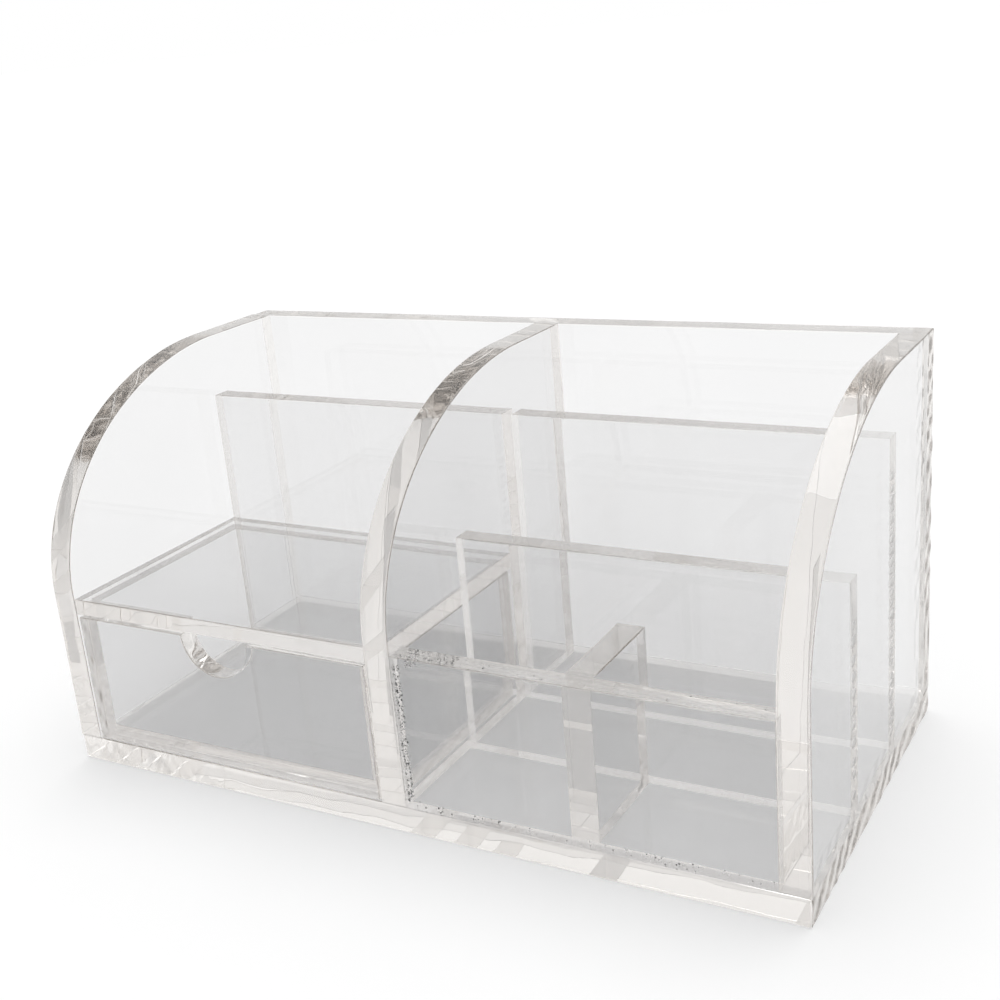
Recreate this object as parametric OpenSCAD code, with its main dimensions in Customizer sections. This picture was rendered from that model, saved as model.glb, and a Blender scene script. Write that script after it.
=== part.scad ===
// Clear acrylic desk organizer, bonded from flat boards with flame-polished edges.
// Left bay: a card shelf over a pull-out drawer, with a tall pad slot behind.
// Right bay: two small bins, a notepad slot and a pen slot, one behind the other.
// The origin is the middle of the underside. +X is to the right, +Y to the back, +Z up.
// Heights are measured from the underside, depths from the front edge.

/* [Overall] */
// Width across the base board
overall_w = 290; // [220:1:380]
// Depth from the front edge to the back face
overall_d = 146; // [120:1:220]
// Height to the top of the curved boards
overall_h = 146.5; // [124:0.5:200]

/* [Carcass boards] */
// Thickness of the base board
base_t = 10; // [5:0.5:15]
// Thickness of the two curved end boards
side_t = 10; // [5:0.5:15]
// Thickness of the curved board between the bays
centre_t = 10; // [5:0.5:15]
// How far the centre board stands to the right of the middle
centre_shift = 0; // [-30:1:30]
// Thickness of the back board
back_t = 10; // [5:0.5:15]

/* [Curved front of the upright boards] */
// Height at which the straight front edge turns into the curve
curve_start = 69.5; // [68:0.5:110]
// Depth at which the curve reaches the top edge
curve_depth = 100; // [40:1:130]

/* [Left bay] */
// Height of the card shelf's upper face
shelf_top = 68; // [45:0.5:69]
// Thickness of the card shelf
shelf_t = 6; // [4:0.5:10]

/* [Dividers] */
// Thickness of the upright dividers
divider_t = 8; // [4:0.5:12]
// Depth at which the rear dividers start
rear_divider_y = 93.5; // [75:0.5:120]
// Height of the rear dividers
rear_divider_top = 122; // [100:0.5:146]
// Depth at which the notepad divider starts
middle_divider_y = 47.5; // [35:0.5:75]
// Height of the notepad divider
middle_divider_top = 90.5; // [70:0.5:120]

/* [Bins] */
// Height of the bin front and of the board between the bins
bin_top = 66.5; // [30:0.5:69]
// Thickness of the bin front
bin_front_t = 8.5; // [4:0.5:12]
// Thickness of the board between the bins
bin_divider_t = 10; // [4:0.5:14]

/* [Drawer] */
// Thickness of the drawer front
drawer_front_t = 8; // [4:0.5:12]
// Thickness of the drawer's walls and back
drawer_wall_t = 5; // [3:0.5:8]
// Thickness of the drawer's bottom
drawer_bottom_t = 5; // [3:0.5:8]
// Radius of the half-round thumb notch
thumb_notch_r = 14.5; // [8:0.5:20]
// Gap on each side of the drawer
drawer_side_gap = 0.5; // [0.3:0.1:2]
// Gap under the drawer
drawer_under_gap = 0.3; // [0.3:0.1:1]
// Gap between the drawer and the shelf above it
drawer_top_gap = 0.7; // [0.5:0.1:3]
// Gap behind the closed drawer
drawer_rear_gap = 1; // [0.5:0.5:10]

/* [Hidden] */

clear_board = [0.86, 0.91, 0.92, 0.45];
clear_drawer = [0.80, 0.88, 0.92, 0.45];
curve_steps = 64;
notch_fn = 96;
overrun = 1;

// Planes of the carcass
x_left = -overall_w / 2;
x_right = overall_w / 2;
y_front = -overall_d / 2;
y_rear = overall_d / 2;
y_back_board = y_rear - back_t;

// The two bays, left and right of the centre board
centre_x0 = centre_shift - centre_t / 2;
centre_x1 = centre_x0 + centre_t;
left_bay = [x_left + side_t, centre_x0];
right_bay = [centre_x1, x_right - side_t];

// Planes of the dividers
y_middle = y_front + middle_divider_y;
y_rear_divider = y_front + rear_divider_y;
bin_divider_x = (right_bay[0] + right_bay[1] - bin_divider_t) / 2;

// The closed drawer's outer box
drawer_x0 = left_bay[0] + drawer_side_gap;
drawer_x1 = left_bay[1] - drawer_side_gap;
drawer_y1 = y_rear_divider - drawer_rear_gap;
drawer_z0 = base_t + drawer_under_gap;
drawer_z1 = shelf_top - shelf_t - drawer_top_gap;
drawer_inner_y0 = y_front + drawer_front_t;
drawer_inner_z0 = drawer_z0 + drawer_bottom_t;

// A flat board between its lowest and highest corners
module board(low, high) translate(low) cube(high - low);

// Point of the quarter ellipse at angle a, from 0 at the front edge to 90 at the top
function curve_point(a) = [y_front + curve_depth * (1 - cos(a)),
                           curve_start + (overall_h - curve_start) * sin(a)];

// Outline of a curved board: depth across, height up
module curved_outline() polygon(concat(
    [[y_front, base_t]],
    [for (i = [0 : curve_steps]) curve_point(90 * i / curve_steps)],
    [[y_back_board, overall_h], [y_back_board, base_t]]));

// A curved upright board whose left face lies at x
module curved_board(x, thickness)
    translate([x, 0, 0]) rotate([90, 0, 90]) linear_extrude(thickness) curved_outline();

// A board that closes a bay from side to side and stands on the base
module bay_divider(bay, y, thickness, top)
    board([bay[0], y, base_t], [bay[1], y + thickness, top]);

// A long wall of the drawer, standing on its bottom
module drawer_wall(x)
    board([x, drawer_inner_y0, drawer_inner_z0], [x + drawer_wall_t, drawer_y1, drawer_z1]);

module base_plate() color(clear_board)
    board([x_left, y_front, 0], [x_right, y_rear, base_t]);

module back_panel() color(clear_board)
    board([x_left, y_back_board, base_t], [x_right, y_rear, overall_h]);

module left_side() color(clear_board) curved_board(x_left, side_t);

module centre_panel() color(clear_board) curved_board(centre_x0, centre_t);

module right_side() color(clear_board) curved_board(x_right - side_t, side_t);

module drawer_shelf() color(clear_board)
    board([left_bay[0], y_front, shelf_top - shelf_t], [left_bay[1], y_rear_divider, shelf_top]);

module left_rear_divider() color(clear_board)
    bay_divider(left_bay, y_rear_divider, divider_t, rear_divider_top);

module right_rear_divider() color(clear_board)
    bay_divider(right_bay, y_rear_divider, divider_t, rear_divider_top);

module middle_divider() color(clear_board)
    bay_divider(right_bay, y_middle, divider_t, middle_divider_top);

module bin_front() color(clear_board)
    bay_divider(right_bay, y_front, bin_front_t, bin_top);

module bin_divider() color(clear_board)
    board([bin_divider_x, y_front + bin_front_t, base_t],
          [bin_divider_x + bin_divider_t, y_middle, bin_top]);

module drawer_front() color(clear_drawer) difference() {
    board([drawer_x0, y_front, drawer_z0], [drawer_x1, drawer_inner_y0, drawer_z1]);
    translate([(drawer_x0 + drawer_x1) / 2, y_front - overrun, drawer_z1]) rotate([-90, 0, 0])
        cylinder(r = thumb_notch_r, h = drawer_front_t + 2 * overrun, $fn = notch_fn);
}

module drawer_left_wall() color(clear_drawer) drawer_wall(drawer_x0);

module drawer_right_wall() color(clear_drawer) drawer_wall(drawer_x1 - drawer_wall_t);

module drawer_back() color(clear_drawer)
    board([drawer_x0 + drawer_wall_t, drawer_y1 - drawer_wall_t, drawer_inner_z0],
          [drawer_x1 - drawer_wall_t, drawer_y1, drawer_z1]);

module drawer_bottom() color(clear_drawer)
    board([drawer_x0, drawer_inner_y0, drawer_z0], [drawer_x1, drawer_y1, drawer_inner_z0]);

base_plate();
back_panel();
left_side();
centre_panel();
right_side();
drawer_shelf();
left_rear_divider();
right_rear_divider();
middle_divider();
bin_front();
bin_divider();
drawer_front();
drawer_left_wall();
drawer_right_wall();
drawer_back();
drawer_bottom();
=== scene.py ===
"""Looks of a clear acrylic desk organizer: flame-polished boards, their weld lines and a small studio."""

import math

import bpy
import numpy as np
from bpy.props import FloatProperty, FloatVectorProperty, IntProperty, PointerProperty
from mathutils import Matrix, Vector


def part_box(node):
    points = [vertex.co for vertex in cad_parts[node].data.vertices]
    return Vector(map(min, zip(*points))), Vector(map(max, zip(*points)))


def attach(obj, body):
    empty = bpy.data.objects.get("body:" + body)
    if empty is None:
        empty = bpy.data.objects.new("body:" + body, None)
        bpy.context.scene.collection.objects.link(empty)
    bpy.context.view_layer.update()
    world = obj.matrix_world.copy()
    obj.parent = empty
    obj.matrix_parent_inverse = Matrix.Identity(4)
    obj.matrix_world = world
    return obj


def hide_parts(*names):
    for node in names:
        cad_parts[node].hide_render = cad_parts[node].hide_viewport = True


bl_info = {
    "name": "Clear acrylic desk organizer",
    "version": (1, 0, 0),
    "blender": (4, 5, 0),
    "location": "3D View > Sidebar > Organizer",
    "description": "Builds polished acrylic boards, weld lines and a studio round the packed model",
    "category": "Object",
}

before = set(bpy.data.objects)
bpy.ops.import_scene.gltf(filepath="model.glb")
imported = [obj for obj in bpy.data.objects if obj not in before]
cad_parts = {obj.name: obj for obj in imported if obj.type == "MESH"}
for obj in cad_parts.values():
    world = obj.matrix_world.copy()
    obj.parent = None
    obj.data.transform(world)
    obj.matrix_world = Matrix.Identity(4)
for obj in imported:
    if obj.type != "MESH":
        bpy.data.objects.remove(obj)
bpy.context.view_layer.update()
MM = 0.001
X, Y, Z = 0, 1, 2

# The boards of each body: their CAD nodes and the axis that each board is thin along
CARCASS_BOARDS = {
    "base_plate": Z, "back_panel": Y,
    "left_side": X, "centre_panel": X, "right_side": X,
    "drawer_shelf": Z,
    "left_rear_divider": Y, "right_rear_divider": Y, "middle_divider": Y,
    "bin_front": Y, "bin_divider": X,
}
DRAWER_BOARDS = {
    "drawer_front": Y, "drawer_left_wall": X, "drawer_right_wall": X,
    "drawer_back": Y, "drawer_bottom": Z,
}
BODY_OF = {**{n: "carcass" for n in CARCASS_BOARDS}, **{n: "drawer" for n in DRAWER_BOARDS}}
THIN_AXIS = {**CARCASS_BOARDS, **DRAWER_BOARDS}
SLOT_OF = {"carcass": "carcass_acrylic", "drawer": "drawer_acrylic"}

# Two boards meet where they lie on one plane, and share more than this each way
SAME_PLANE = 0.02 * MM
SHARED_WIDTH = 0.5 * MM
# A point of a CAD board counts as on its front edge or its top edge within this
ON_EDGE = 0.01 * MM
# An outline is rounded at the corners where it turns more than this
SHARP_TURN = math.radians(20)

# The slow waves of a flame-polished edge: their lengths and how strong each is
WAVE_LENGTHS = (60 * MM, 33 * MM, 19 * MM, 12 * MM)
WAVE_WEIGHTS = (1.0, 0.75, 0.35, 0.1)
WAVE_SLANT = 1.6
WAVE_LENGTH_SPREAD = 0.15
# How the scallops drift, in scallop lengths: (by how much, over what distance, from what angle)
SCALLOP_DRIFTS = ((0.55, 1.9, 0.0), (0.30, 0.8, 1.0))
# A scallop's height as a share of the thickness, and how its rows rise and fall: (by what angle, over
# what distance in scallop lengths)
SCALLOP_ROW = 0.9
SCALLOP_ROW_DRIFT = (1.4, 1.3)

# Patterns of the acrylic, in patches per metre
SHEET_PATCHES = 22.0
FLAME_PATCHES = 160.0
# How much darker the face tint gets in places
TINT_SPREAD = 0.97
# Wiping smudges: (patches along each axis, turn, noise at which one starts and is full)
SMUDGES = ((9, 30, 30), (0, 0.3, 0.5), 0.56, 0.72)
# Hairline scratches two ways: the same, and how strong they are beside the smudges
HAIRLINES = (((40, 1800, 1800), (0.4, 0.7, 0.3), 0.76, 0.86, 4.0),
             ((1500, 1500, 35), (0.2, -0.5, 0.6), 0.77, 0.87, 3.0))

# Bubbles stay this far inside the bin front's faces, and this far off the board it is welded to
INSET = 0.9 * MM
SKIN = 0.45 * MM
# Flat pockets lie this far inside the divider's end, and are half this thick
POCKET_DEPTH = 0.4 * MM
POCKET_HALF_THICKNESS = 0.16 * MM

# Light bounces that clear board behind clear board needs
BOUNCES = 96


# ---------------------------------------------------------------- settings

class OrganizerEdges(bpy.types.PropertyGroup):
    """How the boards' edges are finished"""
    bevel: FloatProperty(
        name="Edge radius", description="Radius that flame polishing leaves on a free edge",
        default=0.5 * MM, min=0.15 * MM, max=2 * MM, unit="LENGTH")
    weld_bevel: FloatProperty(
        name="Weld radius", description="Radius that is left on an edge that is welded to another board",
        default=0.12 * MM, min=0.05 * MM, max=0.5 * MM, unit="LENGTH")
    weld: FloatProperty(
        name="Weld depth", description="How far a welded edge reaches into the board that it meets",
        default=0.04 * MM, min=0.01 * MM, max=0.3 * MM, unit="LENGTH")
    wave: FloatProperty(
        name="Edge wave", description="Height of the slow waves left along a flame-polished edge",
        default=0.06 * MM, min=0.0, max=0.5 * MM, unit="LENGTH")
    scallop: FloatProperty(
        name="Scallop height", description="Height of the scallops on the edges that face sideways",
        default=0.18 * MM, min=0.0, max=0.5 * MM, unit="LENGTH")
    scallop_length: FloatProperty(
        name="Scallop length", description="Spacing of the scallops along an edge",
        default=13 * MM, min=2 * MM, max=30 * MM, unit="LENGTH")
    crown: FloatProperty(
        name="Edge crown", description="How far the middle of a polished edge stands proud",
        default=0.05 * MM, min=0.0, max=0.5 * MM, unit="LENGTH")
    calm: FloatProperty(
        name="Calm length", description="Distance from a weld over which a free edge's waves grow",
        default=7 * MM, min=1 * MM, max=30 * MM, unit="LENGTH")
    step: FloatProperty(
        name="Edge step", description="Spacing of the points along an edge",
        default=1.4 * MM, min=0.5 * MM, max=10 * MM, unit="LENGTH")
    bevel_steps: IntProperty(
        name="Radius steps", description="Faces across each rounded edge", default=4, min=2, max=12)


class OrganizerAcrylic(bpy.types.PropertyGroup):
    """What the acrylic looks like"""
    face_tint: FloatVectorProperty(
        name="Face tint", description="What a board's cast face lets through, there and back",
        default=(0.91, 0.91, 0.912), min=0.0, max=1.0, subtype="COLOR")
    edge_tint: FloatVectorProperty(
        name="Edge tint", description="What a flame-polished edge lets through, there and back",
        default=(0.99, 0.975, 0.955), min=0.0, max=1.0, subtype="COLOR")
    depth_tint: FloatVectorProperty(
        name="Depth tint", description="Colour that a long way through the acrylic leaves",
        default=(0.62, 0.50, 0.40), min=0.0, max=1.0, subtype="COLOR")
    tint_density: FloatProperty(
        name="Tint density", description="How quickly the depth tint builds up, per metre",
        default=0.6, min=0.0, max=50.0)
    ior: FloatProperty(
        name="Refractive index", description="Refractive index of cast acrylic",
        default=1.49, min=1.3, max=1.7)
    sheet_wave: FloatProperty(
        name="Sheet waviness", description="Height of the slow unevenness of a cast face",
        default=0.05 * MM, min=0.0, max=1 * MM, unit="LENGTH")
    flame_marks: FloatProperty(
        name="Flame marks", description="Height of the shallow pools that flame polishing left on an edge",
        default=0.004 * MM, min=0.0, max=0.1 * MM, unit="LENGTH")
    smudge: FloatProperty(
        name="Smudges", description="Roughness of the faint wiping marks on a face",
        default=0.014, min=0.0, max=0.3)
    bubble_size: FloatProperty(
        name="Bubble radius", description="Largest radius of the bubbles caught in a weld",
        default=0.45 * MM, min=0.05 * MM, max=1 * MM, unit="LENGTH")


class OrganizerStudio(bpy.types.PropertyGroup):
    """Camera, light and floor"""
    camera_place: FloatVectorProperty(
        name="Camera place", description="Where the camera stands",
        default=(0.2513, -0.4110, 0.2573), size=3, subtype="XYZ", unit="LENGTH")
    camera_turn: FloatProperty(
        name="Camera turn", description="How far the camera looks to the left of straight back",
        default=math.radians(30.5), subtype="ANGLE")
    camera_tilt: FloatProperty(
        name="Camera tilt", description="How far the camera looks down",
        default=math.radians(18.7), subtype="ANGLE")
    camera_roll: FloatProperty(
        name="Camera roll", description="How far the camera leans",
        default=math.radians(-5.05), subtype="ANGLE")
    lens: FloatProperty(
        name="Lens", description="Focal length in millimetres on a 36 mm sensor",
        default=50.5, min=20, max=200)
    floor_shade: FloatProperty(
        name="Floor shade", description="How much light the floor gives back", default=0.42, min=0, max=1)
    floor_glow: FloatProperty(
        name="Floor glow", description="Light that the backlit floor adds of its own",
        default=0.52, min=0, max=1)
    key_from: FloatVectorProperty(
        name="Key light from", description="Direction that the key light comes from",
        default=(0.0, 0.26, 1.0), size=3, subtype="DIRECTION")
    key_power: FloatProperty(
        name="Key light", description="Strength of the key light", default=1.4, min=0, max=20)
    key_width: FloatProperty(
        name="Key light width", description="Angle that the key light covers",
        default=math.radians(50), subtype="ANGLE")
    sky_strength: FloatProperty(
        name="Surround", description="Brightness of the white surround", default=1.0, min=0, max=5)
    sky_top: FloatProperty(
        name="Ceiling shade", description="Brightness of the surround straight overhead",
        default=0.72, min=0, max=1)
    dark_side: FloatVectorProperty(
        name="Dark side", description="Direction of the unlit part of the room",
        default=(0.62, -0.68, 0.40), size=3, subtype="DIRECTION")
    dark_shade: FloatProperty(
        name="Dark shade", description="Brightness of the unlit part of the room",
        default=0.85, min=0, max=1)
    floor_reach: FloatProperty(
        name="Floor reach", description="How far the floor runs from the middle, each way",
        default=40.0, min=0.5, max=50, unit="LENGTH")
    floor_drop: FloatProperty(
        name="Floor drop", description="Thin air gap under the organizer",
        default=0.3 * MM, min=0.05 * MM, max=2 * MM, unit="LENGTH")


# ---------------------------------------------------------------- shapes

def smooth_wave(along, across, seed):
    """Height from about -1 to 1 at each place on an edge: a sum of long sines that run along it, each slanted
    across it by its own amount. The seed sets their lengths, slants and phases."""
    draw = np.random.default_rng(seed)
    weights = np.array(WAVE_WEIGHTS)
    count = len(weights)
    lengths = np.array(WAVE_LENGTHS) * draw.uniform(1 - WAVE_LENGTH_SPREAD, 1 + WAVE_LENGTH_SPREAD, count)
    slants = draw.uniform(-WAVE_SLANT, WAVE_SLANT, count)
    phases = draw.uniform(0, 2 * math.pi, count)
    place = along[..., None] + slants * across[..., None]
    return np.sin(2 * math.pi * place / lengths + phases) @ weights / weights.sum()


def spaced(start, end, step):
    """Points from start up to but not including end, about a step apart, in a straight line."""
    start, end = np.asarray(start, float), np.asarray(end, float)
    count = max(1, int(round(np.linalg.norm(end - start) / step)))
    return start + (end - start) * np.arange(count)[:, None] / count


def rounded(corners, radii, step, arc_steps=4):
    """A closed outline through corner points, counter-clockwise, each turn of it rounded to its radius. Where
    the outline turns only a little, as along a curve, its points stay as they are."""
    corners = np.asarray(corners, float)
    before, after = np.roll(corners, 1, 0), np.roll(corners, -1, 0)
    to_here = (corners - before) / np.linalg.norm(corners - before, axis=1)[:, None]
    from_here = (after - corners) / np.linalg.norm(after - corners, axis=1)[:, None]
    turn = np.arctan2(to_here[:, 0] * from_here[:, 1] - to_here[:, 1] * from_here[:, 0],
                      (to_here * from_here).sum(1))
    parts = []
    for i, radius in enumerate(radii):
        if abs(turn[i]) > SHARP_TURN:
            enter = corners[i] - to_here[i] * radius * math.tan(abs(turn[i]) / 2)
            side = np.array([-to_here[i][1], to_here[i][0]]) * math.copysign(radius, turn[i])
            swing = turn[i] * np.linspace(0, 1, arc_steps + 1)
            arc = np.stack([side[1] * np.sin(swing) - side[0] * np.cos(swing),
                            -side[0] * np.sin(swing) - side[1] * np.cos(swing)], 1)
            parts.append(enter + side + arc)
        else:
            parts.append(corners[i][None])
    outline = []
    for i, part in enumerate(parts):
        following = parts[(i + 1) % len(parts)][0]
        outline.append(part[:-1])
        outline.append(spaced(part[-1], following, step))
    return np.concatenate(outline)


def outline_normals(outline):
    """Unit normals of a closed counter-clockwise outline, pointing out of it."""
    tangent = np.roll(outline, -1, 0) - np.roll(outline, 1, 0)
    normal = np.stack([tangent[:, 1], -tangent[:, 0]], 1)
    return normal / np.linalg.norm(normal, axis=1)[:, None]


def edge_profile(thickness, bevel, crown, bevel_steps, flat_steps=6):
    """Section across a board's edge at each place along it, from the low face to the high one: how far each
    point lies inside the outline, where it lies across the thickness, and the way it faces, as its outward
    part and its part across. The corners are quarter circles, and the flat between them is crowned as a
    shallow parabola. The bevel and the crown are columns, with a value for each place along the edge."""
    swing = np.linspace(0, math.pi / 2, bevel_steps + 1)
    share = np.linspace(-1, 1, flat_steps + 1)[1:-1]
    half_flat = thickness / 2 - bevel
    low_in, low_across = bevel * (1 - np.sin(swing)), bevel * (1 - np.cos(swing))
    flat_in, flat_across = -crown * (1 - share ** 2), thickness / 2 + share * half_flat
    inward = np.concatenate([low_in, flat_in, low_in[:, ::-1]], 1)
    across = np.concatenate([low_across, flat_across, thickness - low_across[:, ::-1]], 1)
    slope = 2 * crown * share / half_flat
    turned = np.broadcast_to(swing, low_in.shape)
    lean = np.concatenate([turned - math.pi / 2, np.arctan(slope), math.pi / 2 - turned[:, ::-1]], 1)
    return inward, across, np.stack([np.cos(lean), np.sin(lean)], -1)


def board_mesh(name, outline, low, high, axis, freedom, seed):
    """A board: its edge profile carried round its outline, with the two faces closed flat. The outline lies
    in the plane of the two axes that follow the thin one. Freedom is 1 along a free edge and 0 along a
    welded one: a free edge is rounded, crowned and waved, and a welded one is nearly square and flat."""
    edges = bpy.context.scene.organizer_edges
    free = freedom[:, None]
    bevel = edges.weld_bevel + (edges.bevel - edges.weld_bevel) * free
    inward, across, facing = edge_profile(high - low, bevel, edges.crown * free, edges.bevel_steps)
    normals = outline_normals(outline)
    lengths = np.linalg.norm(np.roll(outline, -1, 0) - outline, axis=1)
    along = np.concatenate([[0], np.cumsum(lengths)[:-1]])
    # The wave fades out towards the board's two faces, so that they stay flat
    fade = np.clip(facing[..., 0], 0, 1) ** 2 * free
    wave = edges.wave * smooth_wave(along[:, None] + 0 * across, across, seed) * fade
    # Scallops where the edge faces sideways: a sine along it times a cosine across it, which both drift
    u_axis, v_axis = (axis + 1) % 3, (axis + 2) % 3
    sideways = abs(normals[:, (u_axis, v_axis).index(X)]) if axis != X else 0 * along
    length = edges.scallop_length
    drifted = along + length * sum(amount * np.sin(along / (reach * length) + start)
                                   for amount, reach, start in SCALLOP_DRIFTS)
    rise, reach = SCALLOP_ROW_DRIFT
    rows = (2 * math.pi * across / (SCALLOP_ROW * (high - low))
            + rise * np.sin(along / (reach * length) + seed)[:, None])
    scallops = np.sin(2 * math.pi * drifted / length)[:, None] * np.cos(rows)
    wave = wave + edges.scallop * scallops * (sideways ** 4)[:, None] * fade
    flat = outline[:, None, :] - normals[:, None, :] * (inward - wave)[..., None]
    points = np.empty(inward.shape + (3,))
    points[..., u_axis], points[..., v_axis], points[..., axis] = flat[..., 0], flat[..., 1], low + across
    places, columns = inward.shape
    index = np.arange(places * columns).reshape(places, columns)
    ahead = np.roll(index, -1, 0)
    quads = np.stack([index[:, :-1], ahead[:, :-1], ahead[:, 1:], index[:, 1:]], -1).reshape(-1, 4)
    mesh = bpy.data.meshes.new(name)
    mesh.from_pydata(points.reshape(-1, 3).tolist(), [],
                     quads.tolist() + [index[::-1, 0].tolist(), index[:, -1].tolist()])
    # Each point's own normal: the profile's facing, leaned by the wave's slope along and across the edge
    slope_along = (np.roll(wave, -1, 0) - np.roll(wave, 1, 0)) / (lengths + np.roll(lengths, 1))[:, None]
    slope_across = np.gradient(wave, axis=1) / np.gradient(across, axis=1)
    tangent = np.stack([-normals[:, 1], normals[:, 0]], 1)
    leaned = normals[:, None, :] * facing[..., :1] - tangent[:, None, :] * slope_along[..., None]
    normal = np.empty_like(points)
    normal[..., u_axis], normal[..., v_axis] = leaned[..., 0], leaned[..., 1]
    normal[..., axis] = facing[..., 1] - slope_across * facing[..., 0]
    normal /= np.linalg.norm(normal, axis=2)[..., None]
    rim_normals = normal.reshape(-1, 3)[quads.reshape(-1)]
    face_low, face_high = np.zeros((places, 3)), np.zeros((places, 3))
    face_low[:, axis], face_high[:, axis] = -1, 1
    mesh.shade_smooth()
    mesh.normals_split_custom_set(np.concatenate([rim_normals, face_low, face_high]).tolist())
    polished = mesh.attributes.new("polished_edge", "FLOAT", "FACE")
    polished.data.foreach_set("value", np.append(np.ones(len(quads)), [0.0, 0.0]))
    mesh.validate(clean_customdata=False)
    mesh.update()
    piece = bpy.data.objects.new(name, mesh)
    bpy.context.scene.collection.objects.link(piece)
    return piece


def touches(low_a, high_a, low_b, high_b, axis, end):
    """True if box a's face at that end of an axis lies on box b."""
    place = high_a[axis] if end else low_a[axis]
    facing = low_b[axis] if end else high_b[axis]
    others = [k for k in range(3) if k != axis]
    meet = all(min(high_a[k], high_b[k]) - max(low_a[k], low_b[k]) > SHARED_WIDTH for k in others)
    return meet and abs(place - facing) < SAME_PLANE


def welded_box(node, edges):
    """The node's box, as its board's outline fills it, and the planes that it is welded at, as (axis, place).
    A welded edge is grown by the weld depth. A free one is drawn in, so that its waves stay in the box."""
    low, high = (np.array(c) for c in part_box(node))
    draw_in = edges.crown + edges.wave + edges.scallop * (THIN_AXIS[node] != X)
    grown_low, grown_high, welds = low.copy(), high.copy(), []
    neighbours = [n for n in BODY_OF if n != node and BODY_OF[n] == BODY_OF[node]]
    for axis in (k for k in range(3) if k != THIN_AXIS[node]):
        for end, grown, outwards in ((False, grown_low, -1), (True, grown_high, 1)):
            met = any(touches(low, high, *(np.array(c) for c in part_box(n)), axis, end) for n in neighbours)
            grown[axis] += outwards * (edges.weld if met else -draw_in)
            if met:
                welds.append((axis, grown[axis]))
    return grown_low, grown_high, welds


def edge_freedom(outline, plane, welds, calm):
    """How free each point of an outline is, from 0 on a welded plane to 1 further than the calm length from
    every one: the product of smooth steps of its distances from them."""
    freedom = np.ones(len(outline))
    for axis, place in welds:
        share = np.clip(abs(outline[:, plane.index(axis)] - place) / calm, 0, 1)
        freedom *= share * share * (3 - 2 * share)
    return freedom


def rectangle(low, high):
    """Corners of a rectangle, counter-clockwise."""
    return [(low[0], low[1]), (high[0], low[1]), (high[0], high[1]), (low[0], high[1])]


def curved_corners(node, low, high, curve_steps=90):
    """Corners of a curved board in depth and height: a straight front edge, a quarter ellipse and a flat top.
    The ellipse starts where the CAD board's front edge ends and runs to where its top edge starts."""
    points = np.array([v.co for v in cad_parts[node].data.vertices])
    front, top = points[:, Y].min(), points[:, Z].max()
    start = points[points[:, Y] < front + ON_EDGE, Z].max()
    reach = points[points[:, Z] > top - ON_EDGE, Y].min()
    swing = np.linspace(math.pi / 2, 0, curve_steps + 1)
    curve = np.stack([reach - (reach - low[Y]) * np.cos(swing), start + (high[Z] - start) * np.sin(swing)], 1)
    return [(low[Y], low[Z]), (high[Y], low[Z]), (high[Y], high[Z]), *curve.tolist()]


def notched_corners(node, low, high, notch_steps=40):
    """Corners of the drawer front in height and width, with the half-round notch in its top edge. The notch's
    radius and middle are those of the CAD board's."""
    points = np.array([v.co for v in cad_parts[node].data.vertices])
    middle = (low[X] + high[X]) / 2
    near_middle, above_foot = abs(points[:, X] - middle) < 2 * MM, points[:, Z] > low[Z] + 1 * MM
    notch_floor = points[near_middle & above_foot, Z].min()
    radius = points[:, Z].max() - notch_floor
    swing = np.linspace(0, math.pi, notch_steps + 1)
    notch = np.stack([high[Z] - radius * np.sin(swing), middle - radius * np.cos(swing)], 1)
    return [(low[Z], low[X]), (high[Z], low[X]), *notch.tolist(), (high[Z], high[X]), (low[Z], high[X])]


def make_board(node, corners_of=None):
    """The polished board that stands for a CAD node."""
    edges = bpy.context.scene.organizer_edges
    axis = THIN_AXIS[node]
    plane = [(axis + 1) % 3, (axis + 2) % 3]
    low, high, welds = welded_box(node, edges)
    corners = corners_of(node, low, high) if corners_of else rectangle(low[plane], high[plane])
    at_corners = edge_freedom(np.array(corners), plane, welds, edges.bevel)
    outline = rounded(corners, edges.weld_bevel + (edges.bevel - edges.weld_bevel) * at_corners, edges.step)
    freedom = edge_freedom(outline, plane, welds, edges.calm)
    piece = board_mesh(node + "_board", outline, low[axis], high[axis], axis, freedom,
                       list(BODY_OF).index(node))
    piece.data.materials.append(acrylic(SLOT_OF[BODY_OF[node]]))
    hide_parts(node)
    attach(piece, BODY_OF[node])
    return piece


# ---------------------------------------------------------------- materials

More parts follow.
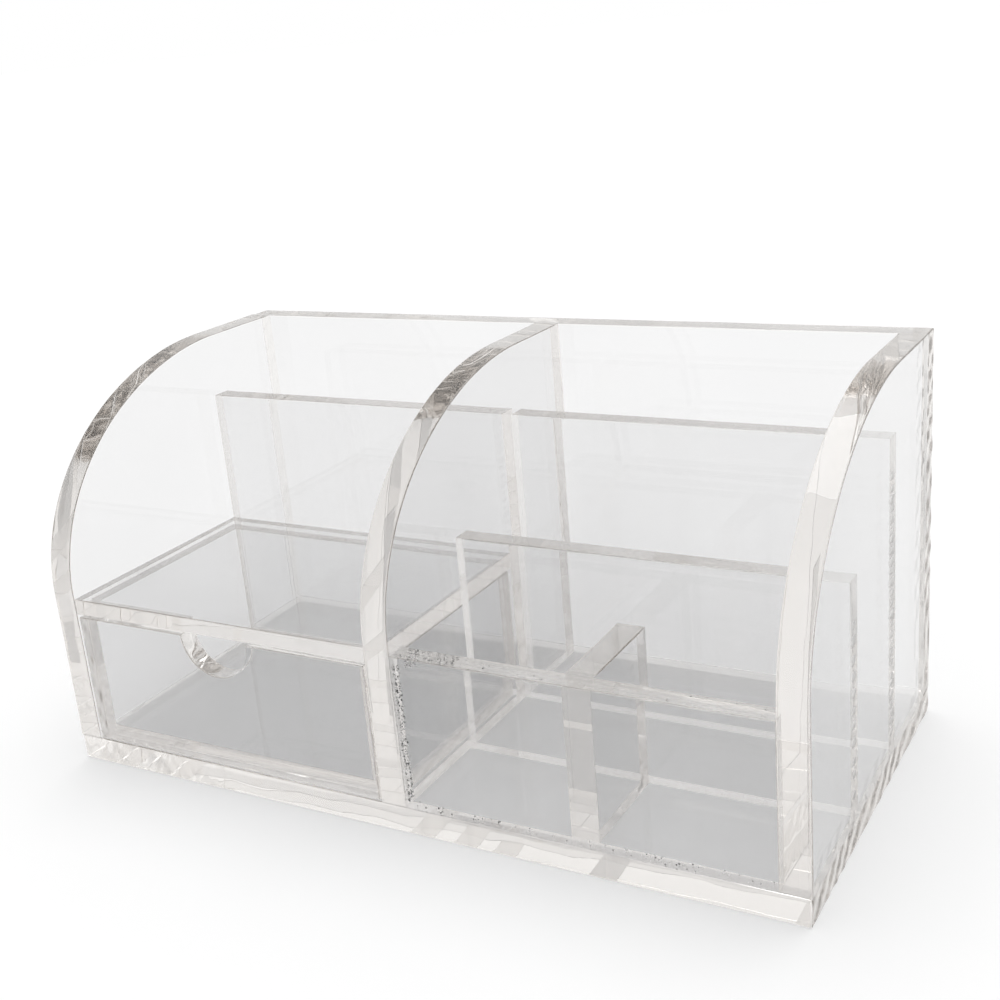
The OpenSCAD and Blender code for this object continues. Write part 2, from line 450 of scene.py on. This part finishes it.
class Nodes:
    """A material's node tree, with short calls to add a node and to link into its sockets."""

    def __init__(self, name):
        self.material = bpy.data.materials.new(name)
        self.material.use_nodes = True
        self.tree = self.material.node_tree
        self.shader = self.tree.nodes["Principled BSDF"]
        self.output = self.tree.nodes["Material Output"]

    def add(self, kind, settings=None, **inputs):
        """A node of a kind with its settings. An input is a value or another node's output socket."""
        node = self.tree.nodes.new("ShaderNode" + kind)
        for key, value in (settings or {}).items():
            setattr(node, key, value)
        for key, value in inputs.items():
            self.put(node, key.replace("_", " "), value)
        return node

    def put(self, node, key, value):
        """Link another node's output into a socket, or set the socket's own value."""
        socket = node.inputs[int(key) if key.isdigit() else key]
        if isinstance(value, bpy.types.NodeSocket):
            self.tree.links.new(value, socket)
        else:
            socket.default_value = value

    def noise(self, place, scale, detail=2.0, roughness=0.5):
        """Soft noise from 0 to 1, with scale in patches per metre."""
        texture = self.add("TexNoise", Vector=place, Scale=scale, Detail=detail, Roughness=roughness)
        return texture.outputs["Fac"]

    def ranged(self, value, low, high, to_low=0.0, to_high=1.0):
        """A value's stretch from low to high, eased and sent to another stretch."""
        node = self.add("MapRange", {"interpolation_type": "SMOOTHSTEP"}, Value=value)
        for key, number in (("From Min", low), ("From Max", high), ("To Min", to_low), ("To Max", to_high)):
            node.inputs[key].default_value = number
        return node.outputs["Result"]

    def worked_out(self, operation, a, b):
        """What a Math operation makes of two values."""
        node = self.add("Math", {"operation": operation})
        self.put(node, "0", a)
        self.put(node, "1", b)
        return node.outputs["Value"]

    def blended(self, share, a, b):
        """A colour between a and b: a where the share is 0 and b where it is 1."""
        node = self.add("Mix", {"data_type": "RGBA"})
        for key, value in (("0", share), ("6", a), ("7", b)):
            self.put(node, key, value)
        return node.outputs[2]

    def stretched(self, place, scale, turn):
        """Places squeezed by a scale along each axis, after a turn."""
        mapping = self.add("Mapping", Vector=place)
        mapping.inputs["Scale"].default_value = scale
        mapping.inputs["Rotation"].default_value = turn
        return mapping.outputs["Vector"]


def acrylic(slot):
    """Clear cast acrylic: faces with a slow waviness, faint wiping smudges and hairline scratches, and
    flame-polished edges that are warmer and uneven. A long way through it is warm and grey."""
    name = slot.replace("_acrylic", "_clear_acrylic")
    if name in bpy.data.materials:
        return bpy.data.materials[name]
    settings = bpy.context.scene.organizer_acrylic
    kit = Nodes(name)
    place = kit.add("TexCoord").outputs["Object"]
    edge = kit.add("Attribute", {"attribute_name": "polished_edge"}).outputs["Fac"]
    # Colour: the face's own tint, a little uneven, and the edge's
    slow = kit.noise(place, SHEET_PATCHES, 0.0)
    face = kit.blended(slow, (*settings.face_tint, 1), (*(v * TINT_SPREAD for v in settings.face_tint), 1))
    kit.put(kit.shader, "Base Color", kit.blended(edge, face, (*settings.edge_tint, 1)))
    # Roughness: smudges where a cloth passed, and hairline scratches that run two ways
    patches, turn, starts, full = SMUDGES
    marks = kit.ranged(kit.noise(kit.stretched(place, patches, turn), 1.0, 1.0), starts, full)
    for patches, turn, starts, full, strength in HAIRLINES:
        scratches = kit.noise(kit.stretched(place, patches, turn), 1.0, 0.0)
        marks = kit.worked_out("MAXIMUM", marks, kit.ranged(scratches, starts, full, 0, strength))
    kit.put(kit.shader, "Roughness", kit.worked_out("MULTIPLY", marks, settings.smudge))
    # Relief: the sheet's slow waviness, and on the edges the shallow pools that the flame left
    sheet = kit.add("Bump", Height=slow, Distance=settings.sheet_wave, Strength=1.0)
    pools = kit.worked_out("MULTIPLY", kit.noise(place, FLAME_PATCHES, 0.0), edge)
    flame = kit.add("Bump", Height=pools, Distance=settings.flame_marks, Strength=1.0,
                    Normal=sheet.outputs["Normal"])
    kit.put(kit.shader, "Normal", flame.outputs["Normal"])
    kit.shader.distribution = "GGX"
    kit.shader.inputs["Transmission Weight"].default_value = 1
    kit.shader.inputs["IOR"].default_value = settings.ior
    depth = kit.add("VolumeAbsorption")
    depth.inputs["Color"].default_value = (*settings.depth_tint, 1)
    depth.inputs["Density"].default_value = settings.tint_density
    kit.put(kit.output, "Volume", depth.outputs["Volume"])
    return kit.material


def bubble_skin(name, patches, darkest_painted_shade):
    """Skin of the air caught in a weld. It mirrors what is round it, and its colour carries painted shade:
    noise with patches per metre dims it in places, down to the lowest shade given, for the dark flecks of a
    bubble."""
    if name in bpy.data.materials:
        return bpy.data.materials[name]
    kit = Nodes(name)
    place = kit.add("TexCoord").outputs["Object"]
    # Painted shade: the mirror's colour is dimmed in noise patches, standing in for the dark flecks and rims
    # that refraction gives a bubble
    shade = kit.ranged(kit.noise(place, patches), 0.42, 0.56, darkest_painted_shade, 1.0)
    grey = kit.add("CombineColor", Red=shade, Green=shade, Blue=shade)
    kit.put(kit.shader, "Base Color", grey.outputs["Color"])
    kit.shader.inputs["Metallic"].default_value = 1
    kit.shader.inputs["Roughness"].default_value = 0.32
    return kit.material


# ---------------------------------------------------------------- weld bubbles

def bubble_piece(name, middles, sizes, skin, rings, sides):
    """Air bubbles as one piece: at each middle a sphere on a grid of two angles, stretched to its half
    sizes."""
    fall = np.linspace(0, math.pi, rings + 1)[1:-1]
    turn = np.linspace(0, 2 * math.pi, sides, endpoint=False)
    belt = np.stack([np.outer(np.sin(fall), np.cos(turn)), np.outer(np.sin(fall), np.sin(turn)),
                     np.outer(np.cos(fall), np.ones(sides))], -1).reshape(-1, 3)
    ball = np.concatenate([[[0, 0, 1.0]], belt, [[0, 0, -1.0]]])
    points = middles[:, None, :] + sizes[:, None, :] * ball
    index = 1 + np.arange((rings - 1) * sides).reshape(rings - 1, sides)
    ahead = np.roll(index, -1, 1)
    quads = np.stack([index[:-1], index[1:], ahead[1:], ahead[:-1]], -1).reshape(-1, 4)
    last = len(ball) - 1
    caps = np.concatenate([np.stack([index[0], ahead[0], 0 * index[0]], -1),
                           np.stack([ahead[-1], index[-1], 0 * index[-1] + last], -1)])
    shift = len(ball) * np.arange(len(middles))[:, None, None]
    mesh = bpy.data.meshes.new(name)
    mesh.from_pydata(points.reshape(-1, 3).tolist(), [],
                     (quads + shift).reshape(-1, 4).tolist() + (caps + shift).reshape(-1, 3).tolist())
    mesh.shade_smooth()
    mesh.materials.append(skin)
    piece = bpy.data.objects.new(name, mesh)
    bpy.context.scene.collection.objects.link(piece)
    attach(piece, "carcass")
    return piece


def bubble_cloud(name, low, high, count, seed):
    """Small round bubbles strewn through a thin box. The seed draws many small ones and few large ones: a
    radius is a quarter of the bubble size, and up to the whole of it by the square of an even draw."""
    draw = np.random.default_rng(seed)
    low, high = np.array(low), np.array(high)
    middles = low + (high - low) * draw.uniform(0, 1, (count, 3))
    radii = bpy.context.scene.organizer_acrylic.bubble_size * (0.25 + 0.75 * draw.uniform(0, 1, count) ** 2)
    # Small patches of painted shade that go nearly to black
    skin = bubble_skin("weld_bubble", patches=1200.0, darkest_painted_shade=0.02)
    return bubble_piece(name, middles, np.repeat(radii[:, None], 3, 1), skin, rings=5, sides=8)


def weld_pockets(name, start, end, spacing, half_size, seed):
    """A row of flat air pockets along a weld, from start to end. Each is a sphere squeezed to the half size
    times what the seed draws, and its place along the row drifts by another draw."""
    draw = np.random.default_rng(seed)
    start, end = np.array(start), np.array(end)
    length = np.linalg.norm(end - start)
    count = int(length / spacing)
    share = (np.arange(count) + 0.5 + draw.uniform(-0.18, 0.18, count)) / count
    middles = start + (end - start) * share[:, None]
    sizes = np.array(half_size) * draw.uniform(0.7, 1.15, (count, 1))
    # The pockets' skin takes lighter painted shade, in broader patches
    return bubble_piece(name, middles, sizes, bubble_skin("weld_pocket", 350.0, 0.75), rings=8, sides=14)


# ---------------------------------------------------------------- operators

class ORGANIZER_OT_base_and_back(bpy.types.Operator):
    """Make the base board and the back board"""
    bl_idname = "organizer.base_and_back"
    bl_label = "Base and back"

    def execute(self, context):
        make_board("base_plate")
        make_board("back_panel")
        return {"FINISHED"}


class ORGANIZER_OT_curved_boards(bpy.types.Operator):
    """Make the two end boards and the centre board, with their curved front edges"""
    bl_idname = "organizer.curved_boards"
    bl_label = "Curved boards"

    def execute(self, context):
        for node in ("left_side", "centre_panel", "right_side"):
            make_board(node, curved_corners)
        return {"FINISHED"}


class ORGANIZER_OT_card_shelf(bpy.types.Operator):
    """Make the card shelf over the drawer"""
    bl_idname = "organizer.card_shelf"
    bl_label = "Card shelf"

    def execute(self, context):
        make_board("drawer_shelf")
        return {"FINISHED"}


class ORGANIZER_OT_dividers(bpy.types.Operator):
    """Make the upright dividers behind the shelf and the bins"""
    bl_idname = "organizer.dividers"
    bl_label = "Dividers"

    def execute(self, context):
        for node in ("left_rear_divider", "right_rear_divider", "middle_divider"):
            make_board(node)
        return {"FINISHED"}


class ORGANIZER_OT_bins(bpy.types.Operator):
    """Make the front of the two bins and the short board between them"""
    bl_idname = "organizer.bins"
    bl_label = "Bins"

    def execute(self, context):
        make_board("bin_front")
        make_board("bin_divider")
        return {"FINISHED"}


class ORGANIZER_OT_drawer_box(bpy.types.Operator):
    """Make the drawer's walls, back and bottom"""
    bl_idname = "organizer.drawer_box"
    bl_label = "Drawer box"

    def execute(self, context):
        for node in ("drawer_left_wall", "drawer_right_wall", "drawer_back", "drawer_bottom"):
            make_board(node)
        return {"FINISHED"}


class ORGANIZER_OT_drawer_front(bpy.types.Operator):
    """Make the drawer front with its thumb notch"""
    bl_idname = "organizer.drawer_front"
    bl_label = "Drawer front"

    def execute(self, context):
        make_board("drawer_front", notched_corners)
        return {"FINISHED"}


class ORGANIZER_OT_weld_bubbles(bpy.types.Operator):
    """Make the bubbles caught in the solvent welds round the bins"""
    bl_idname = "organizer.weld_bubbles"
    bl_label = "Weld bubbles"

    def execute(self, context):
        front_low, front_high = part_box("bin_front")
        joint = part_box("centre_panel")[1][X]
        near, far = front_low[Y] + INSET, front_high[Y] - INSET
        # Two columns where the bin front meets the centre board, just inside the bin front's end
        for side, depth, seed in (("outer", 0.28, 13), ("inner", 0.70, 17)):
            y = front_low[Y] + depth * (front_high[Y] - front_low[Y])
            bubble_cloud("bin_front_weld_bubbles_" + side,
                         (joint + SKIN, y - INSET, front_low[Z] + 2 * MM),
                         (joint + 3 * SKIN, y + INSET, front_high[Z] - 4 * MM), 190, seed)
        # A froth near the top of that joint, and a few bubbles down on the base
        bubble_cloud("bin_front_weld_froth",
                     (joint + 4.5 * MM, near, front_high[Z] - 3.5 * MM),
                     (joint + 8 * MM, far, front_high[Z] - 1.2 * MM), 36, 5)
        bubble_cloud("base_weld_bubbles",
                     (front_low[X] + 2 * MM, near, front_low[Z] + SKIN),
                     (front_high[X] - 2 * MM, far, front_low[Z] + 2 * SKIN), 90, 6)
        # Flat pockets where two dividers end on the right board
        for node, spacing, half_depth, half_height, seed in (
                ("right_rear_divider", 3.7 * MM, 3.0 * MM, 1.5 * MM, 7),
                ("middle_divider", 5.5 * MM, 2.6 * MM, 1.8 * MM, 8)):
            low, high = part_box(node)
            x, y = high[X] - POCKET_DEPTH, (low[Y] + high[Y]) / 2
            weld_pockets(node + "_weld_pockets", (x, y, low[Z] + 3 * MM), (x, y, high[Z] - 12 * MM),
                         spacing, (POCKET_HALF_THICKNESS, half_depth, half_height), seed)
        return {"FINISHED"}


def add_camera(studio):
    """The camera: it looks straight back, leans, then tilts down and turns, and stands at its place."""
    camera = bpy.data.objects.new("camera", bpy.data.cameras.new("camera"))
    camera.data.lens = studio.lens
    camera.data.clip_start = 10 * MM
    turn = Matrix.Rotation(studio.camera_turn, 4, "Z")
    tilt = Matrix.Rotation(math.pi / 2 - studio.camera_tilt, 4, "X")
    roll = Matrix.Rotation(studio.camera_roll, 4, "Z")
    camera.matrix_world = Matrix.Translation(studio.camera_place) @ turn @ tilt @ roll
    bpy.context.scene.collection.objects.link(camera)
    bpy.context.scene.camera = camera


def add_floor(studio):
    """A plain white floor, a thin air gap under the organizer, which glows a little by itself."""
    reach, height = studio.floor_reach, -studio.floor_drop
    mesh = bpy.data.meshes.new("floor")
    mesh.from_pydata([(x, y, height) for x, y in rectangle((-reach, -reach), (reach, reach))], [],
                     [(0, 1, 2, 3)])
    floor = bpy.data.objects.new("floor", mesh)
    bpy.context.scene.collection.objects.link(floor)
    paint = bpy.data.materials.new("floor_white")
    paint.use_nodes = True
    shader = paint.node_tree.nodes["Principled BSDF"]
    shader.inputs["Base Color"].default_value = (studio.floor_shade,) * 3 + (1,)
    shader.inputs["Roughness"].default_value = 0.9
    shader.inputs["Specular IOR Level"].default_value = 0.0
    shader.inputs["Emission Color"].default_value = (1, 1, 1, 1)
    shader.inputs["Emission Strength"].default_value = studio.floor_glow
    mesh.materials.append(paint)


def add_sun(studio):
    """One wide soft key light, which comes from its direction."""
    lamp = bpy.data.lights.new("key", "SUN")
    lamp.energy = studio.key_power
    lamp.angle = studio.key_width
    key = bpy.data.objects.new("key", lamp)
    key.rotation_euler = (-Vector(studio.key_from)).to_track_quat("-Z", "Y").to_euler()
    bpy.context.scene.collection.objects.link(key)


def add_sky(studio):
    """A surround that is white round the horizon, shades towards the ceiling, and has one dim stretch on the
    side that the camera stands on."""
    sky = bpy.data.worlds.new("sky")
    bpy.context.scene.world = sky
    sky.use_nodes = True
    nodes, links = sky.node_tree.nodes, sky.node_tree.links
    facing = nodes.new("ShaderNodeTexCoord").outputs["Generated"]
    shades = []
    # Each shade sets in where the cosine of the angle to its direction passes start, and is full at end
    for direction, start, end, shade in (((0, 0, 1), 0.25, 0.9, studio.sky_top),
                                         (studio.dark_side, 0.62, 0.95, studio.dark_shade)):
        towards = nodes.new("ShaderNodeVectorMath")
        towards.operation = "DOT_PRODUCT"
        towards.inputs[1].default_value = Vector(direction).normalized()
        links.new(facing, towards.inputs[0])
        ranged = nodes.new("ShaderNodeMapRange")
        ranged.interpolation_type = "SMOOTHSTEP"
        for socket, value in (("From Min", start), ("From Max", end), ("To Min", 1.0), ("To Max", shade)):
            ranged.inputs[socket].default_value = value
        links.new(towards.outputs["Value"], ranged.inputs["Value"])
        shades.append(ranged.outputs["Result"])
    both = nodes.new("ShaderNodeMath")
    both.operation = "MULTIPLY"
    links.new(shades[0], both.inputs[0])
    links.new(shades[1], both.inputs[1])
    links.new(both.outputs["Value"], nodes["Background"].inputs["Color"])
    nodes["Background"].inputs["Strength"].default_value = studio.sky_strength


class ORGANIZER_OT_studio(bpy.types.Operator):
    """Make the floor, lights, sky and camera"""
    bl_idname = "organizer.studio"
    bl_label = "Studio"

    def execute(self, context):
        scene = context.scene
        studio = scene.organizer_studio
        add_camera(studio)
        add_floor(studio)
        add_sun(studio)
        add_sky(studio)
        scene.view_settings.view_transform = "Standard"
        scene.cycles.max_bounces = BOUNCES
        scene.cycles.transmission_bounces = BOUNCES
        scene.cycles.glossy_bounces = BOUNCES
        return {"FINISHED"}


class ORGANIZER_PT_panel(bpy.types.Panel):
    """Buttons that build the organizer, and its settings"""
    bl_label = "Organizer"
    bl_space_type = "VIEW_3D"
    bl_region_type = "UI"
    bl_category = "Organizer"

    def draw(self, context):
        for operator in OPERATORS:
            self.layout.operator(operator.bl_idname)
        for name, group in GROUPS.items():
            box = self.layout.box()
            for setting in group.__annotations__:
                box.prop(getattr(context.scene, name), setting)


OPERATORS = (ORGANIZER_OT_base_and_back, ORGANIZER_OT_curved_boards, ORGANIZER_OT_card_shelf,
             ORGANIZER_OT_dividers, ORGANIZER_OT_bins, ORGANIZER_OT_drawer_box, ORGANIZER_OT_drawer_front,
             ORGANIZER_OT_weld_bubbles, ORGANIZER_OT_studio)
GROUPS = {"organizer_edges": OrganizerEdges, "organizer_acrylic": OrganizerAcrylic,
          "organizer_studio": OrganizerStudio}


def register():
    for group in GROUPS.values():
        bpy.utils.register_class(group)
    for name, group in GROUPS.items():
        setattr(bpy.types.Scene, name, PointerProperty(type=group))
    for cls in (*OPERATORS, ORGANIZER_PT_panel):
        bpy.utils.register_class(cls)


def unregister():
    for cls in reversed((*OPERATORS, ORGANIZER_PT_panel)):
        bpy.utils.unregister_class(cls)
    for name, group in GROUPS.items():
        delattr(bpy.types.Scene, name)
        bpy.utils.unregister_class(group)


def main():
    """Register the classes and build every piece."""
    register()
    bpy.ops.organizer.studio()
    bpy.ops.organizer.base_and_back()
    bpy.ops.organizer.curved_boards()
    bpy.ops.organizer.card_shelf()
    bpy.ops.organizer.dividers()
    bpy.ops.organizer.bins()
    bpy.ops.organizer.drawer_box()
    bpy.ops.organizer.drawer_front()
    bpy.ops.organizer.weld_bubbles()


if __name__ == "__main__":
    main()
